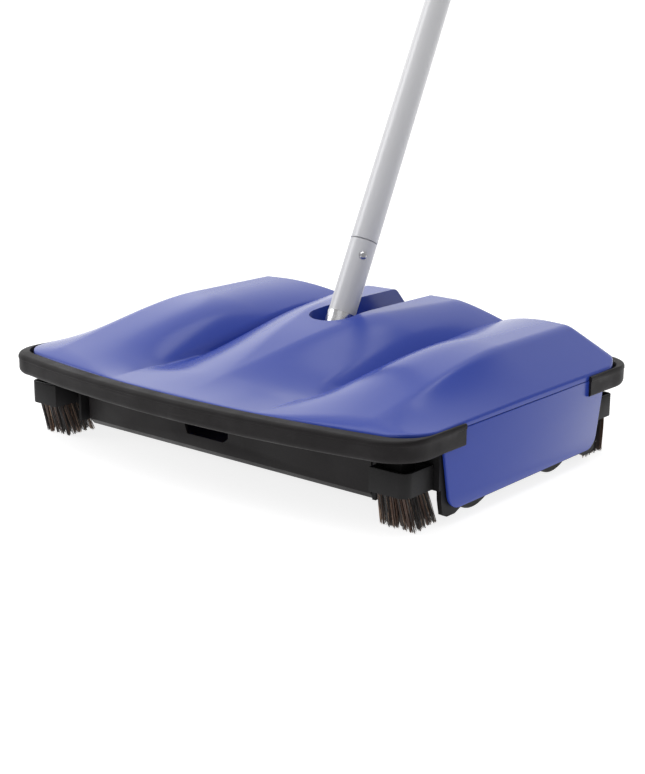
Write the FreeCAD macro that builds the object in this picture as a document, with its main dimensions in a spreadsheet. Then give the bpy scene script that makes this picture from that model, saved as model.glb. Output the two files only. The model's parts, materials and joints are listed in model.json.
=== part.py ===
"""Carpet sweeper: a push sweeper with a moulded cover, a friction-driven brush roll and two dust pans.

Frame: X across the sweeping width, Y from front to back, Z up. The origin is on the floor under the
middle of the body. Millimetres.
"""

import FreeCAD
import Part

import math
import os

import Sketcher

V = FreeCAD.Vector

# alias, value, meaning
DIMENSIONS = [
    ("half_width", 165.0, "outer face of the bumpers from the middle"),
    ("corner_y", 124.5, "corner of the bumper from the middle, before rounding"),
    ("bow", 18.5, "how far the bumper's middle stands ahead of its corners"),
    ("bumper_low", 45.0, "underside of the bumpers"),
    ("bumper_high", 58.0, "top of the bumpers"),
    ("bumper_land", 9.5, "thickness of a bumper along its long side"),
    ("bumper_side", 2.0, "thickness of a bumper's side arm"),
    ("bumper_arm", 69.0, "where a bumper's side arm ends, from the middle"),
    ("bumper_corner", 25.0, "outer corner radius of a bumper"),
    ("bumper_edge", 1.4, "rounding of a bumper's outer edges"),
    ("fit_gap", 0.3, "gap between neighbouring shells"),
    ("cover_foot", 55.6, "lower edge of the cover's rim"),
    ("cover_rim", 58.0, "height of the cover where it meets the bumpers"),
    ("cover_wall", 2.2, "wall of the cover"),
    ("cover_corner", 22.0, "corner radius of the cover"),
    ("crest", 27.5, "height of the middle hump above the rim"),
    ("shoulder", 24.2, "height of the outer humps above the rim"),
    ("slot_half", 16.0, "half width of the handle slot"),
    ("slot_front", 1.0, "front end of the handle slot ahead of the middle"),
    ("slot_corner", 15.0, "corner radius of the slot's front end"),
    ("panel_face", 163.0, "outer face of the side panels"),
    ("panel_wall", 2.4, "wall of the side panels"),
    ("panel_top", 55.3, "upper edge of the side panels"),
    ("panel_low", 9.0, "lower edge of the side panels"),
    ("panel_y", 89.5, "half length of the side panels at their upper edge"),
    ("panel_foot", 80.0, "half length of the side panels at their lower edge"),
    ("panel_corner", 11.0, "lower corner radius of the side panels"),
    ("frame_low", 52.6, "underside of the frame's top ring"),
    ("frame_high", 55.4, "top of the frame's ring"),
    ("frame_half", 160.2, "outer face of the frame's side walls"),
    ("frame_wall", 3.0, "wall of the frame's sides"),
    ("bay_face", 125.0, "wheel side of the inner walls"),
    ("bay_wall", 2.4, "wall of the inner walls"),
    ("ring_front", 98.0, "inner edge of the ring's front and back strips"),
    ("deck_wall", 2.0, "thickness of the handle deck"),
    ("deck_half", 22.0, "half width of the handle deck"),
    ("wheel_radius", 26.0, "rolling radius of a wheel"),
    ("hub_radius", 22.0, "radius of a hub under its tyre"),
    ("wheel_y", 44.0, "wheel axle from the middle"),
    ("wheel_x", 149.0, "middle of a wheel"),
    ("wheel_width", 12.0, "width of a wheel hub"),
    ("axle_radius", 3.0, "radius of a wheel's axle pin"),
    ("running_gap", 0.05, "running clearance"),
    ("roll_z", 27.0, "height of the brush roll's axis"),
    ("pulley_radius", 17.95, "radius of the roll's drive pulleys"),
    ("core_radius", 14.0, "radius of the roll's wooden core"),
    ("bristle_radius", 26.4, "reach of the roll's bristles"),
    ("roll_half", 118.0, "half length of the bristled roll"),
    ("shaft_radius", 4.0, "radius of the roll's shaft"),
    ("bush_radius", 7.0, "outer radius of the roll's bushes"),
    ("pan_half", 118.6, "half length of a dust pan"),
    ("pan_front", 96.3, "outer face of a dust pan's wall"),
    ("pan_wall", 1.8, "wall of a dust pan"),
    ("pan_high", 49.5, "top of a dust pan's wall"),
    ("pan_low", 9.6, "underside of a dust pan's floor"),
    ("pan_lip", 29.0, "edge of a dust pan beside the roll"),
    ("rod_y", 37.0, "hinge rod of a dust pan from the middle"),
    ("rod_z", 14.5, "height of a dust pan's hinge rod"),
    ("rod_radius", 2.0, "radius of a dust pan's hinge rod"),
    ("notch_x", 12.0, "middle of a finger notch off the middle of its pan"),
    ("notch_half", 19.5, "half width of a finger notch"),
    ("notch_low", 21.0, "lower edge of a finger notch"),
    ("notch_high", 31.0, "upper edge of a finger notch"),
    ("block_x", 156.5, "outer face of a corner block"),
    ("block_y", 114.5, "end face of a corner block"),
    ("block_size", 25.5, "side of a corner block"),
    ("block_low", 22.6, "underside of a corner block"),
    ("block_high", 37.0, "top of a corner block's rim"),
    ("block_corner", 6.0, "corner radius of a corner block"),
    ("tuft_size", 21.0, "side of a bristle tuft where it leaves its block"),
    ("tuft_flare", 3.0, "how far a tuft spreads at the floor"),
    ("tuft_rake", 8.0, "how far a tuft leans towards the middle at the floor"),
    ("lean", 26.54, "handle's lean from upright at rest, in degrees"),
    ("stem_y", 5.3, "where the handle's axis passes, at the height stem_z"),
    ("stem_z", 46.2, "height of the handle's reference point"),
    ("pivot_up", 22.13, "pivot along the handle from its reference point"),
    ("pin_radius", 3.0, "radius of the pivot pin"),
    ("yoke_half", 9.0, "half width of the yoke's eye"),
    ("ear_gap", 11.0, "inner face of the bracket's ears"),
    ("ear_wall", 2.5, "thickness of the bracket's ears"),
    ("flange_width", 2.8, "width of the bracket's feet"),
    ("flange_length", 16.0, "length of the bracket's feet"),
    ("tube_radius", 8.5, "outer radius of the handle tubes"),
    ("tube_wall", 1.0, "wall of the handle tubes"),
    ("foot_radius", 9.3, "outer radius of the handle at its foot"),
    ("taper", 180.0, "length over which the first section narrows"),
    ("ferrule_radius", 9.7, "radius of the yoke's ferrule"),
    ("socket_low", 41.0, "lower end of the socket along the handle"),
    ("joint_1", 91.8, "first joint along the handle"),
    ("section", 308.0, "length of each tube section"),
    ("spigot", 30.0, "length of each tube's reduced end"),
    ("button_drop", 11.0, "snap button below each joint"),
    ("button_radius", 2.6, "radius of a snap button"),
    ("button_out", 0.9, "how far a snap button stands out"),
    ("button_turn", 52.0, "how far the buttons are turned from the front, in degrees"),
    ("grip_radius", 12.0, "radius of the grip"),
    ("grip_low", 925.0, "lower end of the grip along the handle"),
    ("grip_high", 1050.0, "upper end of the grip along the handle"),
    ("cap_high", 1086.0, "top of the end cap along the handle"),
    ("hang_radius", 4.5, "radius of the hang hole"),
    ("hang_up", 1071.0, "hang hole along the handle"),
    ("cap_half", 4.5, "half thickness of the hanging eye"),
    ("screw_radius", 1.6, "radius of the cover screws"),
]

doc = FreeCAD.newDocument("carpet_sweeper")
sheet = doc.addObject("Spreadsheet::Sheet", "dims")
for row, (alias, value, meaning) in enumerate(DIMENSIONS, start=1):
    sheet.set("A%d" % row, meaning)
    sheet.set("B%d" % row, str(value))
    sheet.setAlias("B%d" % row, alias)
doc.recompute()

SIZE = {alias: value for alias, value, meaning in DIMENSIONS}
PIECES = []


def cell(expression):
    """Put the sheet's name before each alias in an expression."""
    words = []
    word = ""
    for letter in expression + " ":
        if letter.isalnum() or letter == "_":
            word += letter
            continue
        if word:
            words.append("dims." + word if word in SIZE else word)
            word = ""
        words.append(letter)
    return "".join(words).strip()


def value_of(expression):
    """What an expression of the sheet's aliases comes to, in millimetres."""
    return float(sheet.evalExpression(cell(expression)))


def bind(item, **sizes):
    """Bind properties of a document object to expressions of the sheet's aliases."""
    for name, expression in sizes.items():
        item.setExpression(name, cell(expression))
    return item


def keep(item, label):
    """Name a finished sub-part; its label is its file's name."""
    item.Label = label
    PIECES.append(item)
    return item


def new_body(name):
    return doc.addObject("PartDesign::Body", "Body_" + name)


def plane_of(body, role):
    """The origin plane of a body whose role is XY_Plane, XZ_Plane or YZ_Plane."""
    return next(f for f in body.Origin.OriginFeatures if f.Role == role)


def draw(body, name, role, loops):
    """A sketch of closed polygons whose corners are pairs of expressions, each bound to the sheet."""
    sketch = body.newObject("Sketcher::SketchObject", name)
    sketch.AttachmentSupport = [(plane_of(body, role), "")]
    sketch.MapMode = "FlatFace"
    for corners in loops:
        points = [V(value_of(a), value_of(b), 0) for a, b in corners]
        first = sketch.GeometryCount
        for i, point in enumerate(points):
            sketch.addGeometry(Part.LineSegment(point, points[(i + 1) % len(points)]), False)
        for i, (across, along) in enumerate(corners):
            after = first + (i + 1) % len(points)
            sketch.addConstraint(Sketcher.Constraint("Coincident", first + i, 2, after, 1))
            for kind, expression, place in (("DistanceX", across, points[i].x),
                                            ("DistanceY", along, points[i].y)):
                pin_corner(sketch, kind, first + i, expression, place)
    return sketch


def pin_corner(sketch, kind, geometry, expression, place):
    """Hold the start of a line at a bound distance from the sketch's origin."""
    if abs(place) < 1e-9:
        line = -2 if kind == "DistanceX" else -1
        sketch.addConstraint(Sketcher.Constraint("PointOnObject", geometry, 1, line))
    elif place > 0:
        number = sketch.addConstraint(Sketcher.Constraint(kind, -1, 1, geometry, 1, place))
        sketch.setExpression("Constraints[%d]" % number, cell(expression))
    else:
        number = sketch.addConstraint(Sketcher.Constraint(kind, geometry, 1, -1, 1, -place))
        sketch.setExpression("Constraints[%d]" % number, cell("-(%s)" % expression))


def circles(body, name, role, rounds):
    """A sketch of circles: each has expressions for its middle and its radius."""
    sketch = body.newObject("Sketcher::SketchObject", name)
    sketch.AttachmentSupport = [(plane_of(body, role), "")]
    sketch.MapMode = "FlatFace"
    for across, along, radius in rounds:
        middle = V(value_of(across), value_of(along), 0)
        number = sketch.addGeometry(Part.Circle(middle, V(0, 0, 1), value_of(radius)), False)
        for kind, expression, place in (("DistanceX", across, middle.x), ("DistanceY", along, middle.y)):
            if abs(place) < 1e-9:
                line = -2 if kind == "DistanceX" else -1
                sketch.addConstraint(Sketcher.Constraint("PointOnObject", number, 3, line))
            elif place > 0:
                held = sketch.addConstraint(Sketcher.Constraint(kind, -1, 1, number, 3, place))
                sketch.setExpression("Constraints[%d]" % held, cell(expression))
            else:
                held = sketch.addConstraint(Sketcher.Constraint(kind, number, 3, -1, 1, -place))
                sketch.setExpression("Constraints[%d]" % held, cell("-(%s)" % expression))
        held = sketch.addConstraint(Sketcher.Constraint("Radius", number, value_of(radius)))
        sketch.setExpression("Constraints[%d]" % held, cell(radius))
    return sketch


def pad(body, name, sketch, length, middle=False):
    feature = body.newObject("PartDesign::Pad", name)
    feature.Profile = sketch
    feature.Midplane = middle
    feature.setExpression("Length", cell(length))
    doc.recompute()
    return feature


def pocket(body, name, sketch, length, middle=True, back=False):
    """Cut a sketch out of a body, and make sure that something was cut."""
    before = body.Shape.Volume
    feature = body.newObject("PartDesign::Pocket", name)
    feature.Profile = sketch
    feature.Midplane = middle
    feature.Reversed = back
    feature.setExpression("Length", cell(length))
    doc.recompute()
    if body.Shape.Volume > before - 1e-6:
        raise RuntimeError(body.Name + " " + name + " cut nothing")
    return feature


def revolve(body, name, sketch):
    """Turn a sketch on the XZ plane about the body's Z axis."""
    feature = body.newObject("PartDesign::Revolution", name)
    feature.Profile = sketch
    feature.ReferenceAxis = (sketch, ["V_Axis"])
    feature.Angle = 360.0
    doc.recompute()
    return feature


def round_edges(body, name, radius, chosen):
    """Fillet the edges of the body's tip that the test chooses."""
    base = body.Tip
    names = ["Edge%d" % (i + 1) for i, edge in enumerate(base.Shape.Edges) if chosen(edge)]
    feature = body.newObject("PartDesign::Fillet", name)
    feature.Base = (base, names)
    feature.setExpression("Radius", cell(radius))
    doc.recompute()
    return feature


def upright_at(edge, x, y, reach=1.0):
    """Whether an edge is upright and stands at a place."""
    box = edge.BoundBox
    tall = box.ZLength > 2 and box.XLength < 0.01 and box.YLength < 0.01
    return tall and abs(box.XMin - x) < reach and abs(box.YMin - y) < reach


def cylinder(name, radius, length, place):
    item = doc.addObject("Part::Cylinder", name)
    bind(item, Radius=radius, Height=length)
    item.Placement = place
    return item


def along_x(x, y, z):
    """A placement that lays a piece's Z axis along +X from a point."""
    return FreeCAD.Placement(V(x, y, z), FreeCAD.Rotation(V(0, 1, 0), 90))


def group(name, items):
    """Several separate solids of one node."""
    item = doc.addObject("Part::Compound", name)
    item.Links = items
    return item


def cut(name, base, tool):
    item = doc.addObject("Part::Cut", name)
    item.Base = base
    item.Tool = tool
    return item


def fuse(name, items):
    item = doc.addObject("Part::MultiFuse", name)
    item.Shapes = items
    return item


CORNERS = {"front_left": (-1, -1), "front_right": (1, -1), "rear_left": (-1, 1), "rear_right": (1, 1)}
LEANING = FreeCAD.Placement(V(0, SIZE["stem_y"], SIZE["stem_z"]),
                            FreeCAD.Rotation(V(1, 0, 0), -SIZE["lean"]))
TURNED = LEANING.multiply(FreeCAD.Placement(V(0, 0, 0), FreeCAD.Rotation(V(0, 0, 1), SIZE["button_turn"])))


# ---------------------------------------------------------------- the cover's sculpted surface

def ease(t):
    """A smooth step from 0 to 1."""
    t = min(max(t, 0.0), 1.0)
    return t * t * (3 - 2 * t)


def soft_least(a, b, blend):
    """The lesser of two heights, rounded where they meet."""
    near = max(blend - abs(a - b), 0.0) / blend
    return min(a, b) - near * near * blend / 4


def cover_bound(x):
    """Where the cover's bowed end lies, from the middle of the body, at a distance to one side."""
    half = SIZE["panel_face"] - SIZE["fit_gap"]
    corner_y = SIZE["corner_y"] - SIZE["bumper_land"] - SIZE["fit_gap"]
    return corner_y + SIZE["bow"] * (1 - (x / half) ** 2)


def hump_height(u, y):
    """Height of the humps above the rim before the valleys are cut: a slow rise from the front, the outer
    humps a little sooner than the middle one, and a straight fall to the sides."""
    ridge_half, hump_x = 39.0, 117.0
    side_foot, side_slope = 164.0, 0.735
    outwards = ease((u - ridge_half) / (hump_x - ridge_half))
    plateau = SIZE["crest"] - (SIZE["crest"] - SIZE["shoulder"]) * outwards
    rise_front = -138.0 - 22.0 * outwards
    rise_length = 173.0 + 5.0 * outwards
    flank = (side_foot - u) * side_slope
    return soft_least(plateau, flank, 2.5) * ease((y - rise_front) / rise_length)


def valley_depth(u, y):
    """Depth of the valley between the middle hump and an outer one. Its floor climbs from a shallow dip
    behind the front edge up to the back."""
    start, start_x, spread = -78.0, 62.4, 0.046
    dip, dip_length = 1.5, 22.0
    climb, climb_length = 17.6, 178.0
    ridge_half, outer_reach, bottom = 38.0, 48.0, 5.0
    line = start_x + spread * (y - start)
    floor = climb * ease((y - start) / climb_length) - dip * ease((y - start + dip_length) / dip_length)
    depth = max(hump_height(line, y) - floor, 0.0)
    away = math.hypot(u - line, bottom) - bottom
    if u < line:
        inner_edge = ridge_half * min(max((y + 90.0) / 187.0, 0.0), 1.0)
        reach = math.hypot(line - inner_edge, bottom) - bottom
        return depth * max(1 - away / reach, 0.0) ** 1.35
    reach = math.hypot(outer_reach, bottom) - bottom
    return depth * max(1 - away / reach, 0.0) ** (3 - ease((y + 60.0) / 120.0))


def cover_height(x, y):
    """Height of the cover's outer surface: three humps with a valley each side of the middle one, and a
    fall to every edge."""
    u = abs(x)
    end = cover_bound(x)
    height = hump_height(u, y) - valley_depth(u, y)
    height = soft_least(height, (end - 1.7 - y) * 1.05, 3.0)
    height = soft_least(height, 0.3 + (y + end) * 0.45, 2.0)
    return SIZE["cover_rim"] + max(height, -1.5)


def cover_surface(lower_by):
    """The sculpted surface over the whole body, as one spline face, lowered by a distance."""
    step = 7.5
    half_x, half_y = 172.5, 150.0
    count_x = int(2 * half_x / step) + 1
    count_y = int(2 * half_y / step) + 1
    rows = []
    for i in range(count_x):
        x = -half_x + i * step
        ys = [-half_y + j * step for j in range(count_y)]
        rows.append([V(x, y, cover_height(x, y) - lower_by) for y in ys])
    surface = Part.BSplineSurface()
    surface.interpolate(rows)
    return surface.toShape()


def outline(half, corner_y, bow, radius, low, high):
    """An upright solid whose ends are bowed, with rounded corners."""
    points = [V(-half, -corner_y, low), V(half, -corner_y, low), V(half, corner_y, low), V(-half, corner_y, low)]
    front = Part.Arc(points[0], V(0, -corner_y - bow, low), points[1]).toShape()
    back = Part.Arc(points[2], V(0, corner_y + bow, low), points[3]).toShape()
    sides = [Part.makeLine(points[1], points[2]), Part.makeLine(points[3], points[0])]
    wire = Part.Wire([front, sides[0], back, sides[1]])
    solid = Part.Face(wire).extrude(V(0, 0, high - low))
    corners = [e for e in solid.Edges if any(upright_at(e, p.x, p.y) for p in points)]
    return solid.makeFillet(radius, corners)


def slot_solid(grow, low, high):
    """The handle slot, grown outwards by a distance: rounded at its front, open to the back."""
    half = SIZE["slot_half"] + grow
    front = -SIZE["slot_front"] - grow
    solid = Part.makeBox(2 * half, 160 - front, high - low, V(-half, front, low))
    corners = [e for e in solid.Edges if upright_at(e, -half, front) or upright_at(e, half, front)]
    return solid.makeFillet(SIZE["slot_corner"] + grow, corners)


BOSSES = [(side * 100.0, end * 108.0) for side in (-1, 1) for end in (-1, 1)] + [(-142.0, 0.0), (142.0, 0.0)]


def make_cover():
    """The cover: a sculpted shell with a rim, screw bosses, and a walled slot for the handle."""
    foot, wall, gap = SIZE["cover_foot"], SIZE["cover_wall"], SIZE["fit_gap"]
    half = SIZE["panel_face"] - gap
    corner_y = SIZE["corner_y"] - SIZE["bumper_land"] - gap
    low, deep = foot - 20, 60.0
    under = cover_surface(0).extrude(V(0, 0, -deep))
    hollow = cover_surface(wall).extrude(V(0, 0, -deep))
    outer = outline(half, corner_y, SIZE["bow"], SIZE["cover_corner"], foot, 100).common(under)
    inset = 5.0
    room = outline(half - inset, corner_y - inset, SIZE["bow"], SIZE["cover_corner"] - 3, low, 100)
    shell = outer.cut(room.common(hollow))
    slot_floor = SIZE["cover_rim"] + 0.3
    shell = shell.cut(slot_solid(0, slot_floor, 120))
    liner = slot_solid(wall, slot_floor, 120).cut(slot_solid(0, low, 120)).common(outer)
    pillars = [Part.makeCylinder(4.2, 60, V(x, y, foot)).common(outer) for x, y in BOSSES]
    shell = shell.fuse([liner] + pillars)
    for x, y in BOSSES:
        shell = shell.cut(Part.makeCylinder(SIZE["screw_radius"] + 0.02, 3.0, V(x, y, foot - 0.5)))
    item = doc.addObject("Part::Feature", "Cover")
    item.Shape = shell.removeSplitter()
    return keep(item, "top_cover")


# ---------------------------------------------------------------- shells round the body

def make_panels():
    """The two side panels: flat, with slanting ends and rounded lower corners."""
    for label, side in (("left_side_panel", -1), ("right_side_panel", 1)):
        body = new_body(label)
        profile = draw(body, "Outline_" + label, "YZ_Plane", [[
            ("-panel_y", "panel_top"), ("-panel_foot", "panel_low"),
            ("panel_foot", "panel_low"), ("panel_y", "panel_top")]])
        pad(body, "Plate_" + label, profile, "panel_wall")
        low = SIZE["panel_low"]
        round_edges(body, "Corners_" + label, "panel_corner",
                    lambda e: e.BoundBox.XLength > 1 and abs(e.BoundBox.ZMax - low) < 0.01
                    and e.BoundBox.YLength < 0.01)
        start = SIZE["panel_face"] - SIZE["panel_wall"] if side > 0 else -SIZE["panel_face"]
        body.Placement = FreeCAD.Placement(V(start, 0, 0), FreeCAD.Rotation())
        keep(body, label)


def bumper_sketch(body, name, end):
    """A bowed strip with two side arms: lines, and an arc along each long edge."""
    sketch = body.newObject("Sketcher::SketchObject", name)
    sketch.AttachmentSupport = [(plane_of(body, "XY_Plane"), "")]
    sketch.MapMode = "FlatFace"
    outer, arm = "half_width", "bumper_arm"
    inner = "half_width - bumper_side"
    inner_y = "corner_y - bumper_land"
    sign = "" if end > 0 else "-"
    corners = [("-(%s)" % outer, arm), ("-(%s)" % outer, "corner_y"), (outer, "corner_y"), (outer, arm),
               (inner, arm), (inner, inner_y), ("-(%s)" % inner, inner_y), ("-(%s)" % inner, arm)]
    corners = [(a, "%s(%s)" % (sign, b)) for a, b in corners]
    points = [V(value_of(a), value_of(b), 0) for a, b in corners]
    bow = V(0, end * SIZE["bow"], 0)
    for i, point in enumerate(points):
        after = points[(i + 1) % len(points)]
        if i in (1, 5):
            edge = Part.Arc(point, (point + after) / 2 + bow, after)
        else:
            edge = Part.LineSegment(point, after)
        sketch.addGeometry(edge, False)
    for i, (across, along) in enumerate(corners):
        if i in (1, 5):
            continue
        for mark, number in ((1, i), (2, (i + 1) % len(corners))):
            hold_point(sketch, i, mark, corners[number], points[number])
    for i in (1, 5):
        for mark in (1, 2):
            place = points[i + mark - 1]
            start = point_mark(sketch, i, place)
            line, other = (i - 1, 2) if mark == 1 else (i + 1, 1)
            sketch.addConstraint(Sketcher.Constraint("Coincident", i, start, line, other))
        radius = sketch.Geometry[i].Radius
        half = outer if i == 1 else inner
        held = sketch.addConstraint(Sketcher.Constraint("Radius", i, radius))
        sketch.setExpression("Constraints[%d]" % held, cell("((%s)^2 + bow^2) / (2 * bow)" % half))
    return sketch


def point_mark(sketch, number, place):
    """Which end of an arc, 1 or 2, lies at a place."""
    return 1 if (sketch.getPoint(number, 1) - place).Length < 0.01 else 2


def hold_point(sketch, number, mark, expressions, place):
    """Hold one end of a line at bound distances from the sketch's origin."""
    for kind, expression, value in (("DistanceX", expressions[0], place.x), ("DistanceY", expressions[1], place.y)):
        if value > 0:
            held = sketch.addConstraint(Sketcher.Constraint(kind, -1, 1, number, mark, value))
            sketch.setExpression("Constraints[%d]" % held, cell(expression))
        else:
            held = sketch.addConstraint(Sketcher.Constraint(kind, number, mark, -1, 1, -value))
            sketch.setExpression("Constraints[%d]" % held, cell("-(%s)" % expression))


def make_bumpers():
    """Soft bumpers round the front and the back, with rounded corners and edges."""
    for label, end in (("front_bumper", -1), ("rear_bumper", 1)):
        body = new_body(label)
        sketch = bumper_sketch(body, "Outline_" + label, end)
        pad(body, "Strip_" + label, sketch, "bumper_high - bumper_low")
        wide, deep = SIZE["half_width"], SIZE["corner_y"] * end
        round_edges(body, "Corners_" + label, "bumper_corner",
                    lambda e: upright_at(e, wide, deep) or upright_at(e, -wide, deep))
        inner, inner_y = wide - SIZE["bumper_side"], end * (SIZE["corner_y"] - SIZE["bumper_land"])
        round_edges(body, "Inner_" + label, "cover_corner",
                    lambda e: upright_at(e, inner, inner_y) or upright_at(e, -inner, inner_y))
        high = SIZE["bumper_high"] - SIZE["bumper_low"]

        def outer_rim(edge):
            box = edge.BoundBox
            level = box.ZLength < 0.01 and (box.ZMin < 0.01 or box.ZMax > high - 0.01)
            return level and (max(abs(box.XMin), abs(box.XMax)) > wide - 0.01
                              or max(abs(box.YMin), abs(box.YMax)) > SIZE["corner_y"] + SIZE["bow"] - 0.5)

        rims = [e for e in body.Tip.Shape.Edges if outer_rim(e) and e.Length > 6]
        middles = [e.valueAt((e.FirstParameter + e.LastParameter) / 2) for e in rims]
        round_edges(body, "Edges_" + label, "bumper_edge",
                    lambda e: any((e.valueAt((e.FirstParameter + e.LastParameter) / 2) - m).Length < 0.01
                                  for m in middles))
        body.Placement = FreeCAD.Placement(V(0, 0, SIZE["bumper_low"]), FreeCAD.Rotation())
        keep(body, label)


# ---------------------------------------------------------------- frame

def make_frame():
    """The black frame: a ring under the cover, outer side walls, inner walls and bay ends, one moulding."""
    low, high = SIZE["frame_low"], SIZE["frame_high"]
    half, wall = SIZE["frame_half"], SIZE["frame_wall"]
    gap = SIZE["fit_gap"]
    corner_y = SIZE["corner_y"] - SIZE["bumper_land"] - gap
    ring = outline(half, corner_y, SIZE["bow"], SIZE["cover_corner"] - 2, low, high)
    window = Part.makeBox(2 * (half - wall), 2 * SIZE["ring_front"], 20, V(-half + wall, -SIZE["ring_front"], low - 5))
    parts = [ring.cut(window)]
    foot, skirt = SIZE["panel_low"] - 1.6, 5.0
    for side in (-1, 1):
        x = side * half if side < 0 else half - wall
        ends = SIZE["panel_y"] - 1.0
        profile = [(-ends, low), (-SIZE["panel_foot"] - 6, 16), (-SIZE["panel_foot"] - 4, skirt + 2),
                   (-SIZE["panel_foot"], skirt), (-SIZE["panel_foot"] + 8, skirt), (-SIZE["panel_foot"] + 14, foot),
                   (SIZE["panel_foot"] - 14, foot), (SIZE["panel_foot"] - 8, skirt), (SIZE["panel_foot"], skirt),
                   (SIZE["panel_foot"] + 4, skirt + 2), (SIZE["panel_foot"] + 6, 16), (ends, low)]
        points = [V(x, y, z) for y, z in profile]
        wall_face = Part.Face(Part.makePolygon(points + points[:1]))
        parts.append(wall_face.extrude(V(wall, 0, 0)))
        inner = side * SIZE["bay_face"] - (SIZE["bay_wall"] if side > 0 else 0)
        parts.append(Part.makeBox(SIZE["bay_wall"], 2 * 100, high - 12, V(inner, -100, 12)))
        bay = min(side * SIZE["bay_face"], side * half)
        for end in (-1, 1):
            y = end * 86.0 - (0 if end > 0 else 2.4)
            parts.append(Part.makeBox(half - SIZE["bay_face"], 2.4, high - 22, V(bay, y, 22)))
    frame = parts[0].fuse(parts[1:])
    axle, bush, rod = SIZE["axle_radius"], SIZE["bush_radius"], SIZE["rod_radius"]
    holes = []
    for end in (-1, 1):
        holes.append(Part.makeCylinder(axle, 400, V(-200, end * SIZE["wheel_y"], SIZE["wheel_radius"]), V(1, 0, 0))
                     .common(Part.makeBox(2 * (half - 1.2), 400, 100, V(-half + 1.2, -200, 0))))
        holes.append(Part.makeCylinder(rod, 2 * SIZE["bay_face"] - 1, V(-SIZE["bay_face"] + 0.5, end * SIZE["rod_y"],
                                                                        SIZE["rod_z"]), V(1, 0, 0)))
    holes.append(Part.makeCylinder(bush, 260, V(-130, 0, SIZE["roll_z"]), V(1, 0, 0)))
    for x, y in BOSSES[:4]:
        holes.append(Part.makeCylinder(SIZE["screw_radius"] + 0.05, 20, V(x, y, low - 5)))
    for hole in holes:
        frame = frame.cut(hole)
    for side in (-1, 1):
        bridge = Part.makeBox(half - SIZE["bay_face"] + 0.2, 16, high - low,
                              V(min(side * (SIZE["bay_face"] - 0.2), side * half), -8, low))
        frame = frame.fuse(bridge)
        frame = frame.cut(Part.makeCylinder(SIZE["screw_radius"] + 0.05, 20, V(side * 142, 0, low - 5)))
    item = doc.addObject("Part::Feature", "Frame")
    item.Shape = frame.removeSplitter()
    keep(item, "base_frame")


def make_deck():
    """A steel strip across the frame that carries the handle bracket."""
    strip = doc.addObject("Part::Box", "Deck_strip")
    bind(strip, Length="2 * deck_half", Width="2 * (ring_front + 6)", Height="deck_wall")
    strip.Placement = FreeCAD.Placement(V(-SIZE["deck_half"], -SIZE["ring_front"] - 6, SIZE["frame_high"]),
                                        FreeCAD.Rotation())
    keep(strip, "handle_deck")


def make_bracket():
    """A bent steel bracket: a foot on the deck and two ears that hold the pivot pin."""
    pivot = LEANING.multVec(V(0, 0, SIZE["pivot_up"]))
    top = SIZE["frame_high"] + SIZE["deck_wall"]
    ears = []
    for side in (-1, 1):
        body = new_body("Ear_%d" % (side + 1))
        rise = pivot.z - top
        profile = draw(body, "Ear_outline_%d" % (side + 1), "YZ_Plane", [[
            ("-8.8", "0"), ("-8", "%.3f + 8" % rise), ("8", "%.3f + 8" % rise), ("10.5", "0")]])
        pad(body, "Ear_plate_%d" % (side + 1), profile, "ear_wall")
        round_edges(body, "Ear_round_%d" % (side + 1), "7",
                    lambda e: e.BoundBox.XLength > 1 and e.BoundBox.ZMax > rise + 7 and e.BoundBox.YLength < 0.01)
        start = SIZE["ear_gap"] if side > 0 else -SIZE["ear_gap"] - SIZE["ear_wall"]
        body.Placement = FreeCAD.Placement(V(start, pivot.y, top), FreeCAD.Rotation())
        ears.append(body)
        flange = doc.addObject("Part::Box", "Ear_flange_%d" % (side + 1))
        bind(flange, Length="flange_width", Width="flange_length", Height="1.6")
        x = SIZE["ear_gap"] if side > 0 else -SIZE["ear_gap"] - SIZE["flange_width"]
        flange.Placement = FreeCAD.Placement(V(x, pivot.y - SIZE["flange_length"] / 2, top), FreeCAD.Rotation())
        ears.append(flange)
    bare = fuse("Bracket_bare", ears)
    hole = cylinder("Bracket_hole", "pin_radius + 0.02", "60", along_x(-30, pivot.y, pivot.z))
    keep(cut("Bracket", bare, hole), "handle_bracket")
    pin = cylinder("Pin_shank", "pin_radius", "2 * (ear_gap + ear_wall) + 1.6",
                   along_x(-SIZE["ear_gap"] - SIZE["ear_wall"] - 0.8, pivot.y, pivot.z))
    heads = [cylinder("Pin_head_%d" % i, "pin_radius + 1.4", "1.4",
                      along_x(x, pivot.y, pivot.z))
             for i, x in enumerate((-SIZE["ear_gap"] - SIZE["ear_wall"] - 1.5, SIZE["ear_gap"] + SIZE["ear_wall"] + 0.1))]
    keep(fuse("Pivot_pin", [pin] + heads), "pivot_pin")
    washers = []
    for i, x in enumerate((-SIZE["ear_gap"] + 0.05, SIZE["yoke_half"] + 0.05)):
        ring = cylinder("Washer_%d" % i, "6.5", "ear_gap - yoke_half - 0.1", along_x(x, pivot.y, pivot.z))
        hole = cylinder("Washer_hole_%d" % i, "pin_radius + 0.05", "20", along_x(x - 5, pivot.y, pivot.z))
        washers.append(cut("Washer_cut_%d" % i, ring, hole))
    keep(group("Friction_washers", washers), "friction_washers")


# ---------------------------------------------------------------- corner blocks and brushes

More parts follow.
